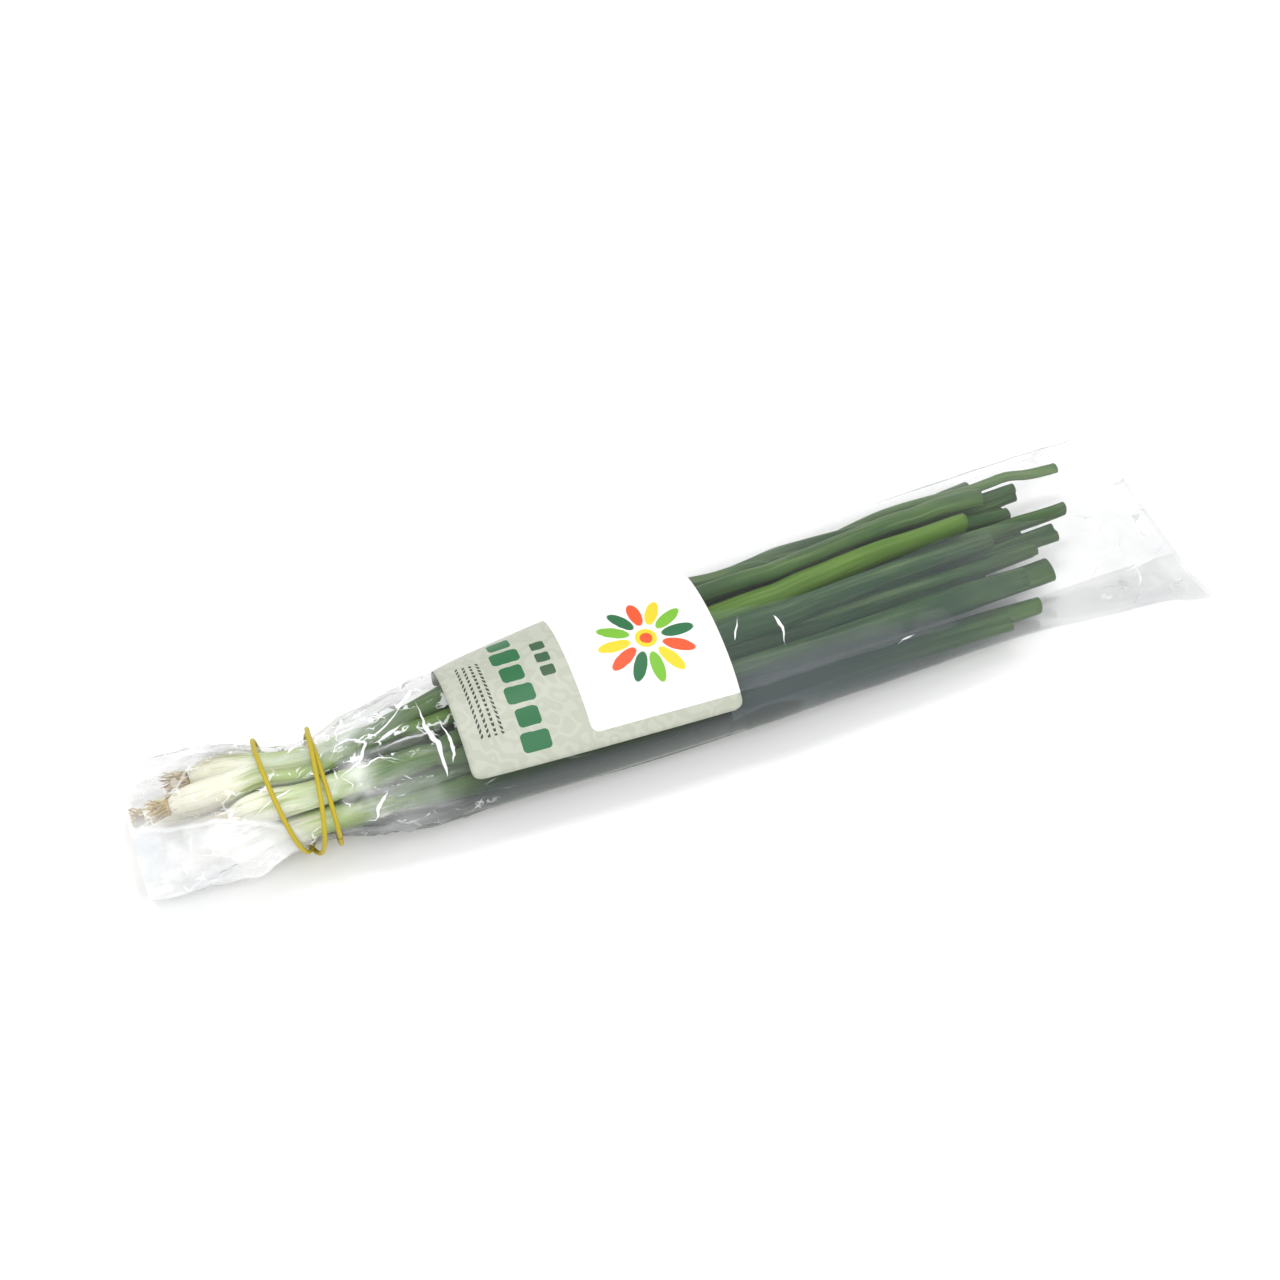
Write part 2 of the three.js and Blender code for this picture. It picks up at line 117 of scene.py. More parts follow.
def section_at(x):
    """Centre Y and Z and half axes of the sleeve at X, smooth through the table."""
    last = len(SECTIONS) - 1
    i = 0
    while i < last - 1 and x > SECTIONS[i + 1][0]:
        i += 1

    def slope(j, key):
        lo = SECTIONS[max(j - 1, 0)]
        hi = SECTIONS[min(j + 1, last)]
        return (hi[key] - lo[key]) / (hi[0] - lo[0])

    span = SECTIONS[i + 1][0] - SECTIONS[i][0]
    t = (x - SECTIONS[i][0]) / span
    t2 = t * t
    t3 = t2 * t
    return [
        (2 * t3 - 3 * t2 + 1) * SECTIONS[i][key]
        + (t3 - 2 * t2 + t) * span * slope(i, key)
        + (3 * t2 - 2 * t3) * SECTIONS[i + 1][key]
        + (t3 - t2) * span * slope(i + 1, key)
        for key in (1, 2, 3, 4)
    ]


def film_point(x, angle, lift):
    """A point of the sleeve, moved outwards along its normal by lift."""
    cy, cz, a, b = section_at(x)
    ny = math.cos(angle) / a
    nz = math.sin(angle) / b
    size = math.hypot(ny, nz)
    y = cy + a * math.cos(angle) + lift * ny / size
    z = cz + b * math.sin(angle) + lift * nz / size
    return y, max(z, -lift)


def shank_radius(distance):
    d = max(distance, 0)
    for (d0, r0), (d1, r1) in zip(BULB_PROFILE, BULB_PROFILE[1:]):
        if d <= d1:
            return BULB_RADIUS * (r0 + (r1 - r0) * (d - d0) / (d1 - d0))
    return SHANK_RADIUS


def leaf_radius(fullness, distance, length):
    t = min(max(distance / 70, 0), 1)
    grown = 0.6 + 0.4 * t * t * (3 - 2 * t)
    share = min(distance / length, 1.2)
    return LEAF_RADIUS * fullness * grown * (1 - 0.16 * share * share)


class Strand:
    """Centres and radii of one shank or leaf at the stations that it passes."""

    def __init__(self, plant, first, last, radius_at, home_at, parent=None, tip=None):
        self.plant = plant
        self.first = first
        self.last = last
        self.parent = parent
        self.tip = tip
        self.fullness = 1
        self.leaves = []
        xs = [station_x(k) for k in range(first, last + 1)]
        self.home = np.array([home_at(x) for x in xs], dtype=float)
        self.at = self.home.copy()
        self.radius = np.array([radius_at(x) for x in xs])

    def centre(self, x):
        """Centre at any X, smooth through the stations and straight beyond them."""
        place = (x - station_x(self.first)) / STATION_STEP
        last = len(self.at) - 1
        below = 1 - len(self.parent.at) if self.parent else 0
        i = min(max(math.floor(place), below), last - 1)
        t = place - i

        def at(n):
            if 0 <= n <= last:
                return self.at[n]
            if n < 0 and self.parent:
                return self.parent.at[len(self.parent.at) + n]
            edge, inner = (0, 1) if n < 0 else (last, last - 1)
            return 2 * self.at[edge] - self.at[inner]

        p0, p1, p2, p3 = at(i - 1), at(i), at(i + 1), at(i + 2)
        if t < 0:
            return p1 + (p2 - p0) * 0.5 * t
        if t > 1:
            return p2 + (p3 - p1) * 0.5 * (t - 1)
        curve = p2 - p0 + t * (2 * p0 - 5 * p1 + 4 * p2 - p3 + t * (3 * (p1 - p2) + p3 - p0))
        return p1 + 0.5 * t * curve


def lay_out():
    strands = []
    for p, (root, neck, collar_x, tips) in enumerate(PLANTS):
        root_x = root[0]
        start = np.array(root[1:], dtype=float)
        under_band = np.array(neck, dtype=float)
        first = math.ceil((root_x - FIRST_X) / STATION_STEP)
        collar = math.floor((collar_x - FIRST_X) / STATION_STEP + 0.5)

        def bulb(x, root_x=root_x):
            allowance = SLANT_ALLOWANCE if x < BAND_CENTRE_X + 15 else 1
            return shank_radius(x - root_x) * allowance

        def to_neck(x, root_x=root_x, start=start, under_band=under_band):
            return start + (under_band - start) * min((x - root_x) / (BAND_CENTRE_X - root_x), 1)

        shank = Strand(p, first, collar, bulb, to_neck)
        strands.append(shank)
        for tip_x, tip_y, tip_z, fullness in tips:
            tip = np.array((tip_y, tip_z), dtype=float)
            length = tip_x - collar_x
            last = math.ceil((tip_x - FIRST_X) / STATION_STEP) + 1

            def width(x, collar_x=collar_x, length=length, fullness=fullness):
                return leaf_radius(fullness, x - collar_x, length)

            def to_tip(x, tip=tip, collar_x=collar_x, length=length, under_band=under_band):
                return under_band + (tip - under_band) * min((x - collar_x) / length, 1)

            last = min(last, STATION_COUNT - 1)
            leaf = Strand(p, collar + 1, last, width, to_tip, shank, (tip_x, tip))
            leaf.fullness = fullness
            shank.leaves.append(leaf)
            strands.append(leaf)
    return strands


WALL_POINTS = 48
WALLS = [
    np.array(
        [
            film_point(station_x(k), 2 * math.pi * m / WALL_POINTS, -FILM_WALL)
            for m in range(WALL_POINTS)
        ]
    )
    for k in range(STATION_COUNT)
]
CENTRES = [section_at(station_x(k)) for k in range(STATION_COUNT)]


class Station:
    """The strands that pass one station, with what keeps them apart."""

    def __init__(self, strands, k):
        parting = 4
        self.k = k
        self.here = [s for s in strands if s.first <= k <= s.last]
        count = len(self.here)
        self.radius = np.array([s.radius[k - s.first] for s in self.here])
        self.need = self.radius[:, None] + self.radius[None, :] if count else np.zeros((0, 0))
        for i, s in enumerate(self.here):
            for j, other in enumerate(self.here):
                joined = s.plant == other.plant and k < self.here[min(i, j)].first + parting
                self.need[i, j] += -0.8 if joined else CLEARANCE + 0.3
        order = np.arange(count)
        self.nudge = 1e-4 * (order[None, :] - order[:, None])
        self.apart = ~np.eye(count, dtype=bool)

    def separate(self):
        if not self.here:
            return
        at = np.array([s.at[self.k - s.first] for s in self.here])
        away = at[None, :, :] - at[:, None, :]
        away[:, :, 1] += self.nudge
        far = np.hypot(away[:, :, 0], away[:, :, 1]) + 1e-6
        share = np.where((far < self.need) & self.apart, 0.5 * (self.need - far) / far, 0)
        at = at - 0.7 * (away * share[:, :, None]).sum(axis=1)
        cy, cz, a, b = CENTRES[self.k]
        middle = np.array((cy, cz))
        out = np.hypot((at[:, 0] - cy) / a, (at[:, 1] - cz) / b)
        beyond = out > 0.95
        at[beyond] = middle + (at[beyond] - middle) * (0.95 / out[beyond])[:, None]
        gap = at[:, None, :] - WALLS[self.k][None, :, :]
        far = np.hypot(gap[:, :, 0], gap[:, :, 1])
        nearest = far.argmin(axis=1)
        rows = np.arange(len(self.here))
        near = far[rows, nearest]
        reach = self.radius + CLEARANCE + 0.55
        push = np.where(near < reach, (reach - near) / near, 0)
        at = at + gap[rows, nearest] * push[:, None]
        for s, place in zip(self.here, at):
            s.at[self.k - s.first] = place


def grow(stations):
    """Carries the leaves outwards from their collars, so that none jumps over another."""
    closest = 5
    for k, station in enumerate(stations):
        for s in station.here:
            if k == s.first and not s.parent:
                continue
            before = s.at[k - s.first - 1] if k > s.first else s.parent.at[-1]
            if s.parent:
                tip_x, tip = s.tip
                to_tip = (tip_x - station_x(k - 1)) / STATION_STEP
                if k == s.first:
                    aim = tip - before
                    place = before + 2.5 * aim / np.hypot(*aim)
                else:
                    place = before + (tip - before) / max(to_tip, closest)
                s.at[k - s.first] = place
            elif station_x(k) > BAND_CENTRE_X:
                was = CENTRES[k - 1]
                now = CENTRES[k]
                s.at[k - s.first] = (
                    now[0] + (before[0] - was[0]) * now[2] / was[2],
                    now[1] + (before[1] - was[1]) * now[3] / was[3],
                )
        for _ in range(80):
            station.separate()


def settle(strands):
    """Lets the strands settle side by side: each bends as little as it can and sinks a little."""
    rounds = 420
    closing_rounds = 200
    stiffness = 0.45
    sink = 0.012
    stations = [Station(strands, k) for k in range(STATION_COUNT)]
    grow(stations)
    pulls = {}
    for s in strands:
        xs = np.array([station_x(k) for k in range(s.first, s.last + 1)])
        held = xs > s.tip[0] - 50 if s.parent else xs < BAND_CENTRE_X + 5
        pulls[s] = np.where(held, 0.05, 0.002)[:, None]
    for turn in range(rounds + closing_rounds):
        if turn < rounds:
            before = {s: s.at.copy() for s in strands}
            for s in strands:
                old = before[s]
                bend = np.zeros_like(old)
                bend[1:-1] = (old[:-2] + old[2:]) / 2 - old[1:-1]
                if s.parent:
                    bend[0] = (before[s.parent][-1] + old[1]) / 2 - old[0]
                if s.leaves:
                    ahead = np.mean([before[leaf][0] for leaf in s.leaves], axis=0)
                    bend[-1] = (old[-2] + ahead) / 2 - old[-1]
                s.at += stiffness * bend + pulls[s] * (s.home - old)
                s.at[:, 1] -= sink
        for station in stations:
            station.separate()


strands = lay_out()
settle(strands)


# Small tools for modelling.


def choose(*objs):
    bpy.ops.object.select_all(action="DESELECT")
    for obj in objs:
        obj.select_set(True)
    bpy.context.view_layer.objects.active = objs[0]


def apply_modifier(obj, kind, **settings):
    choose(obj)
    bpy.ops.object.modifier_add(type=kind)
    modifier = obj.modifiers[-1]
    for name, value in settings.items():
        setattr(modifier, name, value)
    bpy.ops.object.modifier_apply(modifier=modifier.name)


def joined(objs, name):
    choose(*objs)
    if len(objs) > 1:
        bpy.ops.object.join()
    obj = bpy.context.view_layer.objects.active
    obj.name = name
    obj.data.name = name
    bpy.ops.object.transform_apply(location=True, rotation=True, scale=True)
    return obj


def tube(points, radii, sides, closed=False, caps=False):
    """A tube along points in millimetres, drawn as a curve with a round bevel."""
    bpy.ops.object.select_all(action="DESELECT")
    bpy.ops.curve.primitive_nurbs_path_add()
    obj = bpy.context.object
    curve = obj.data
    curve.splines.clear()
    spline = curve.splines.new("POLY")
    spline.points.add(len(points) - 1)
    for point, place, radius in zip(spline.points, points, radii):
        point.co = (*(value * MM for value in place), 1)
        point.radius = radius
    spline.use_cyclic_u = closed
    curve.dimensions = "3D"
    curve.twist_mode = "Z_UP"
    curve.bevel_depth = MM
    curve.bevel_resolution = sides // 2 - 2
    curve.use_fill_caps = caps
    choose(obj)
    bpy.ops.object.convert(target="MESH")
    return bpy.context.object


def store(obj, name, values, kind="FLOAT_VECTOR"):
    """Keeps one value for each vertex, for the materials."""
    attribute = obj.data.attributes.new(name, kind, "POINT")
    field = "vector" if kind == "FLOAT_VECTOR" else "value"
    attribute.data.foreach_set(field, np.array(values, dtype=np.float32).ravel())


def spread(start, end, step):
    count = max(round((end - start) / step), 1)
    return [start + (end - start) * i / count for i in range(count + 1)]


def straighten(obj, strand, base_x, tint):
    """Stores where each vertex lies along and across its own shank or leaf, in millimetres."""
    across = []
    for vertex in obj.data.vertices:
        x, y, z = (value / MM for value in vertex.co)
        cy, cz = strand.centre(x)
        across.append((x - base_x, y - cy, z - cz))
    store(obj, "straight", across)
    store(obj, "tint", [tint] * len(obj.data.vertices), "FLOAT")


def smooth(obj):
    choose(obj)
    bpy.ops.object.shade_smooth()


# The plants.


def dent(obj, strength, scale, seed):
    """Makes a tube a little uneven, with shallow dents that run along it."""
    for vertex in obj.data.vertices:
        x, y, z = (value / MM for value in vertex.co)
        place = Vector((x * scale * 0.25, y * scale, z * scale + seed * 7.3))
        vertex.co += vertex.normal * (noise.noise(place) - 0.25) * strength * MM


def flatten(obj, strand, seed):
    """Squashes a leaf a little and presses a crease along one side, as leaves have in a tight bunch."""
    for vertex in obj.data.vertices:
        x, y, z = (value / MM for value in vertex.co)
        cy, cz = strand.centre(x)
        turn = seed * 1.7 + x * 0.011
        wide = (y - cy) * math.cos(turn) + (z - cz) * math.sin(turn)
        thin = (z - cz) * math.cos(turn) - (y - cy) * math.sin(turn)
        wide *= 1.12
        thin *= 0.84
        if thin > 0:
            thin -= 1.3 * math.exp(-((wide / 1.4) ** 2)) * min(max((x + 60) / 80, 0), 1)
        y = cy + wide * math.cos(turn) - thin * math.sin(turn)
        z = cz + wide * math.sin(turn) + thin * math.cos(turn)
        vertex.co = (x * MM, y * MM, max(z, 0.3) * MM)


def shank_piece(p, strand):
    root, _, _, _ = PLANTS[p]
    start = root[0]
    end = station_x(strand.last)
    ends = [(0, 0.3), (0.2, 0.62), (0.9, 0.72)]
    stops = [(start + d, BULB_RADIUS * share * 0.78) for d, share in ends]
    stops += [(x, shank_radius(x - start) * 0.97) for x in spread(start + 2, end - 4, 3)]
    stops += [(end, SHANK_RADIUS * 0.93), (end + 4, SHANK_RADIUS * 0.75), (end + 8, 2.2)]
    points = [(x, *strand.centre(x)) for x, _ in stops]
    obj = tube(points, [radius for _, radius in stops], 24, caps=True)
    dent(obj, 0.35, 0.22, p)
    straighten(obj, strand, (start + ROOT_BASE_X) / 2, random.uniform(0, 1))
    return obj


def leaf_piece(p, n, strand):
    root, _, collar, _ = PLANTS[p]
    start = station_x(strand.first) - 22
    end = strand.tip[0]
    length = end - collar
    fullness = strand.fullness
    xs = spread(start, end, 4)
    points = [(x, *strand.centre(x)) for x in xs]
    radii = [leaf_radius(fullness, x - collar, length) * 0.96 for x in xs]
    radii[0] *= 0.75
    obj = tube(points, radii, 28)
    flatten(obj, strand, 3 * p + n)
    dent(obj, 0.45 * strand.fullness, 0.16, 10 + 5 * p + n)
    apply_modifier(obj, "SOLIDIFY", thickness=0.9 * MM, offset=-1)
    tint = 2.0 if (p, n) == (0, 2) else random.uniform(0, 1)
    straighten(obj, strand, (root[0] + ROOT_BASE_X) / 2, tint)
    return obj


def roots_pieces(p, strand):
    """The root plate, a squashed ball, and its trimmed hairy roots."""
    root = PLANTS[p][0]
    plate_x = root[0] - CLEARANCE
    radius = BULB_RADIUS * 0.48
    bpy.ops.object.select_all(action="DESELECT")
    cy, cz = strand.centre(root[0])
    bpy.ops.mesh.primitive_uv_sphere_add(
        segments=20,
        ring_count=10,
        radius=radius * MM,
        location=((plate_x - 0.9) * MM, cy * MM, cz * MM),
        rotation=(0, math.pi / 2, 0),
        scale=(1, 1, 0.28),
    )
    plate = bpy.context.object
    bpy.ops.object.transform_apply(location=True, rotation=True, scale=True)
    made = [plate]
    hairs = 40
    for n in range(hairs):
        turn = n * 2.4
        out = radius * 0.9 * math.sqrt((n + 0.5) / hairs)
        length = min(random.uniform(4, 10), plate_x - 0.8 - FILM_END_X)
        wander = random.uniform(-1, 1)
        points = []
        radii = []
        for step in range(7):
            t = step / 6
            reach = out + 2.6 * t * t * out / radius
            side = turn + wander * t * 0.7
            y = cy + reach * math.cos(side) + 0.8 * t * math.sin(5 * t + n)
            z = cz + reach * math.sin(side) + 0.8 * t * math.cos(4 * t + 2 * n) - 0.6 * t * t
            points.append((plate_x - 0.9 - t * length, y, max(z, 1)))
            radii.append(0.42 - 0.22 * t)
        made.append(tube(points, radii, 6, caps=True))
    return made


random.seed(7)
onions = []
for p in range(len(PLANTS)):
    shank = next(s for s in strands if s.plant == p and not s.parent)
    parts = [shank_piece(p, shank)]
    parts += [leaf_piece(p, n, leaf) for n, leaf in enumerate(shank.leaves)]
    name = f"spring_onion_{p + 1}"
    plant = joined(parts, f"{name}_looks")
    smooth(plant)
    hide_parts(name)
    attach(plant, "root")
    onions.append(plant)
    tuft = joined(roots_pieces(p, shank), f"{name}_roots_looks")
    smooth(tuft)
    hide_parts(f"{name}_roots")
    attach(tuft, "root")
    onions.append(tuft)


# The film sleeve.


def ridges(place):
    """Sharp folds between soft hollows, from 0 to 1."""
    return (1 - abs(2 * noise.noise(place))) ** 3


def gathered_at(x):
    """How much the film is gathered: fully beside the band, and hardly by the label."""
    return math.exp(-((max(abs(x - BAND_CENTRE_X) - 14, 0) / 48) ** 2))


def film_lift(x, angle):
    """How far the film stands off its plain section: sharp gathers on both sides of the band, soft
    waves along the leaves and loose crumples at the root end."""
    y = math.cos(angle)
    z = math.sin(angle)
    away = abs(x - BAND_CENTRE_X)
    under_band = min(max((away - 9) / 14, 0), 1)
    gathered = gathered_at(x)
    fan = 8.5 / (1 + max(away - 10, 0) / 60)
    pleats = ridges(Vector((x * 0.018, y * fan * 0.42, z * fan * 0.42)))
    crossing = ridges(Vector((x * 0.055 + y * 2, y * 2.1 + 9, z * 2.1 - x * 0.03)))
    waves = noise.noise(Vector((x * 0.016, y * 1.4 + 3, z * 1.4)))
    root_end = min(max((-172 - x) / 30, 0), 1)
    crumple = noise.noise(Vector((x * 0.07, y * 3.1, z * 3.1 + 4)))
    lift = gathered * under_band * (2.6 * pleats + 1.4 * crossing)
    lift += (0.9 * waves + 0.25) * min(away / 60, 1) + 2.2 * root_end * abs(crumple)
    mouth = min(max((x - 135) / 60, 0), 1)
    loose = noise.noise(Vector((x * 0.035, y * 1.8, z * 1.2 + 8)))
    lift += mouth * (2.4 * abs(loose) + 0.7 * ridges(Vector((x * 0.05, y * 2.5, z + x * 0.02))))
    beside = max(LABEL_START_X - x, x - LABEL_START_X - LABEL_LENGTH, 0)
    ceiling = 0.2 + beside * 0.25 if z > -0.4 else 9
    return max(min(lift, ceiling), -0.2)


def store_film(obj, lift, veil_and_glint, gather):
    """Tells the film's material how far each vertex stands off, its veil, its painted highlight and how
    gathered it is.
    """
    store(obj, "lift", lift, "FLOAT")
    store(obj, "veil_and_glint", veil_and_glint, "FLOAT")
    store(obj, "gather", gather, "FLOAT")


def film_piece():
    around = 200
    rings = 219
    length = 438
    bpy.ops.object.select_all(action="DESELECT")
    bpy.ops.mesh.primitive_cylinder_add(
        vertices=around, radius=1, depth=1, end_fill_type="NOTHING", rotation=(0, math.pi / 2, 0)
    )
    tube_of_film = bpy.context.object
    bpy.ops.object.transform_apply(rotation=True)
    bpy.ops.object.mode_set(mode="EDIT")
    mesh = bmesh.from_edit_mesh(tube_of_film.data)
    lengthwise = [e for e in mesh.edges if abs(e.verts[0].co.x - e.verts[1].co.x) > 0.5]
    bpy.ops.mesh.select_all(action="DESELECT")
    for edge in lengthwise:
        edge.select = True
    bmesh.update_edit_mesh(tube_of_film.data)
    bpy.ops.mesh.subdivide(number_cuts=rings)
    bpy.ops.object.mode_set(mode="OBJECT")
    lifts = []
    for vertex in tube_of_film.data.vertices:
        x = vertex.co.x * length
        angle = math.atan2(vertex.co.z, vertex.co.y)
        lift = film_lift(x, angle)
        y, z = film_point(x, angle, lift)
        vertex.co = (x * MM, y * MM, max(z, 0.1) * MM)
        lifts.append(lift)
    gathers = [gathered_at(vertex.co.x / MM) for vertex in tube_of_film.data.vertices]
    store_film(tube_of_film, lifts, [0.0] * len(lifts), gathers)
    return tube_of_film


# The overlap of the film runs along the front of the leaves, from behind the label to the mouth.
FOLD_EDGE = [(8, 88), (26, 94), (47, 97), (89, 93), (109, 90), (134, 90), (162, 94), (219, 98)]
FOLD_FOOT = 246
FOLD_END_X = 217


def fold_edge_angle(x):
    for (x0, a0), (x1, a1) in zip(FOLD_EDGE, FOLD_EDGE[1:]):
        if x <= x1:
            return a0 + (a1 - a0) * max((x - x0) / (x1 - x0), 0)
    return FOLD_EDGE[-1][1]


def fold_piece():
    """A second layer over the front of the sleeve, lying on it along a free upper edge."""
    along = 160
    up = 50
    bpy.ops.object.select_all(action="DESELECT")
    bpy.ops.mesh.primitive_grid_add(x_subdivisions=along, y_subdivisions=up, size=1)
    layer = bpy.context.object
    start = LABEL_START_X + LABEL_LENGTH - 5
    for vertex in layer.data.vertices:
        x = start + (vertex.co.x + 0.5) * (FOLD_END_X - start)
        t = vertex.co.y + 0.5
        top = fold_edge_angle(x)
        angle = math.radians(FOLD_FOOT + (top - FOLD_FOOT) * t)
        ripple = 0.35 * noise.noise(Vector((x * 0.05, t * 3, 1))) + 0.3
        clear_of_label = min(max(x - LABEL_START_X - LABEL_LENGTH, 0) / 12, 1)
        lift = film_lift(x, angle) + 0.06 + ripple * clear_of_label
        y, z = film_point(x, angle, lift)
        vertex.co = (x * MM, y * MM, max(z, 0.05) * MM)
    veil_and_glint = [1 - min(max((v.co.x / MM - 100) / 62, 0), 1) for v in layer.data.vertices]
    plain = [0.0] * len(veil_and_glint)
    store_film(layer, plain, veil_and_glint, plain)
    return layer


# Raised creases painted white as highlights: the widest radius, then points on the sleeve as X and
# the angle round it in degrees.
GLINTS = [
    (1.4, [(-108, 68), (-107.5, 89), (-108, 98), (-105.5, 113), (-105.5, 141)]),
    (0.8, [(-102.5, 91), (-101.5, 107), (-100.5, 120), (-102.5, 131)]),
    (1, [(-127.5, 137), (-130, 146), (-134.5, 164)]),
    (0.5, [(-106, 57), (-119.5, 79), (-130, 90)]),
    (0.8, [(-144, 94), (-140.5, 79), (-135.5, 77), (-130, 92), (-134, 107), (-142, 113)]),
    (0.5, [(-119, 117), (-127.5, 108), (-133.5, 113)]),
    (0.6, [(-176, 128), (-168, 117), (-160, 111)]),
    (0.6, [(17.5, 97), (15, 105), (12.5, 112)]),
    (1.1, [(30.5, 125), (32, 113), (31, 104)]),
    (0.7, [(74, 150), (77, 147), (82, 146)]),
    (0.6, [(206, 120), (196, 132), (178, 140)]),
    (0.4, [(190, 108), (183, 121), (171, 127)]),
]

# The sleeve's upper outline by the mouth, pressed flat into a crease: a light grey line, part painted
# highlight.
CREASED_EDGE = [(90, 27), (130, 22), (175, 14), (218, 8)]


def glint_piece(stops, widest, veil_and_glint=2.0, thick_end=1.7):
    """A raised film crease painted as a highlight, pointed at both ends and thickest towards its last
    point.
    """
    points = []
    radii = []
    steps = 8
    count = (len(stops) - 1) * steps
    for n in range(count + 1):
        i = min(n // steps, len(stops) - 2)
        t = n / steps - i
        x = stops[i][0] + (stops[i + 1][0] - stops[i][0]) * t
        angle = math.radians(stops[i][1] + (stops[i + 1][1] - stops[i][1]) * t)
        x += 0.7 * noise.noise(Vector((n * 0.35, widest * 5, stops[0][0])))
        swell = 0.6 + 0.8 * abs(noise.noise(Vector((n * 0.22, stops[0][1], 3))))
        radius = widest * math.sin(math.pi * (n / count) ** thick_end) ** 0.8 * swell
        points.append((x, *film_point(x, angle, film_lift(x, angle) + 0.1)))
        radii.append(max(radius, 0.02))
    glint = tube(points, radii, 8, caps=True)
    plain = [0.0] * len(glint.data.vertices)
    store_film(glint, plain, [veil_and_glint] * len(plain), plain)
    return glint


glints = [glint_piece(stops, widest) for widest, stops in GLINTS]
glints.append(glint_piece(CREASED_EDGE, widest=0.3, veil_and_glint=1.45, thick_end=1.0))
film = joined([film_piece(), fold_piece(), *glints], "film_sleeve_looks")
smooth(film)
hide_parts("film_sleeve")
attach(film, "root")


# The rubber band.


def band_piece():
    steps = 300
    rise = 1.15
    middle_x = BAND_CENTRE_X - 2.5
    top_crossing = math.radians(50)
    base = CLEARANCE + 0.1 + BAND_RADIUS
    points = []
    for step in range(steps):
        phase = 2 * math.pi * step / steps
        angle = top_crossing + BAND_TURNS * phase
        stray = 1 / 3 - math.cos(phase) - math.cos(2 * phase) / 3
        x = middle_x + BAND_WANDER * stray
        points.append((x, *film_point(x, angle, base + rise * (1 - math.sin(phase)))))
    return tube(points, [BAND_RADIUS] * steps, 16, closed=True)


band = band_piece()
band.name = "rubber_band_looks"
smooth(band)
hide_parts("rubber_band")
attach(band, "root")


# The paper label.


def label_angle(x, length):
    step = 0.01
    start, end = LABEL_LOW_ANGLES
    low = start + (end - start) * (x - LABEL_START_X) / LABEL_LENGTH
    angle = math.radians(low)
    measured = 0
    _, _, a, b = section_at(x)
    while measured < length:
        measured += step * math.hypot(a * math.sin(angle), b * math.cos(angle))
        angle -= step
    return angle


def label_piece():
    across = 64
    up = 48
    bpy.ops.object.select_all(action="DESELECT")
    bpy.ops.mesh.primitive_grid_add(x_subdivisions=across, y_subdivisions=up, size=1)
    sheet = bpy.context.object
    corner = 3.2
    places = []
    for vertex in sheet.data.vertices:
        u = (vertex.co.x + 0.5) * LABEL_LENGTH
        v = (vertex.co.y + 0.5) * LABEL_WIDTH
        inset_u = max(corner - u, u - LABEL_LENGTH + corner, 0)
        inset_v = max(corner - v, v - LABEL_WIDTH + corner, 0)
        far = math.hypot(inset_u, inset_v)
        if inset_u and inset_v and far > corner:
            u += math.copysign(inset_u * (1 - corner / far), LABEL_LENGTH / 2 - u)
            v += math.copysign(inset_v * (1 - corner / far), LABEL_WIDTH / 2 - v)
        x = LABEL_START_X + u
        angle = label_angle(x, v)
        y, z = film_point(x, angle, CLEARANCE + 0.1)
        vertex.co = (x * MM, y * MM, z * MM)
        places.append((u, v, 0))
    store(sheet, "sheet", places)
    apply_modifier(sheet, "SOLIDIFY", thickness=0.3 * MM, offset=1)
    return sheet


label = label_piece()
label.name = "paper_label_looks"
smooth(label)
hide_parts("paper_label")
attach(label, "root")


# Materials.


class Value:
    """A node's output, which can be worked with as a number."""

    def __init__(self, look, socket):
        self.look = look
        self.socket = socket

    def math(self, operation, other=0.0, swapped=False):
        pair = (other, self) if swapped else (self, other)
        return self.look.node("ShaderNodeMath", operation=operation, inputs=dict(enumerate(pair)))

    def __add__(self, other):
        return self.math("ADD", other)

    __radd__ = __add__

    def __sub__(self, other):
        return self.math("SUBTRACT", other)

    def __rsub__(self, other):
        return self.math("SUBTRACT", other, swapped=True)

    def __mul__(self, other):
        return self.math("MULTIPLY", other)

    __rmul__ = __mul__

    def __truediv__(self, other):
        return self.math("DIVIDE", other)

    def max(self, other):
        return self.math("MAXIMUM", other)

    def min(self, other):
        return self.math("MINIMUM", other)

    def power(self, other):
        return self.math("POWER", other)

    def size(self):
        return self.math("ABSOLUTE")

    def step(self, low, high, out_low=0.0, out_high=1.0):
        """Goes smoothly from one output to the other while the value goes from low to high."""
        return self.look.node(
            "ShaderNodeMapRange",
            interpolation_type="SMOOTHSTEP",
            inputs={0: self, 1: low, 2: high, 3: out_low, 4: out_high},
        )


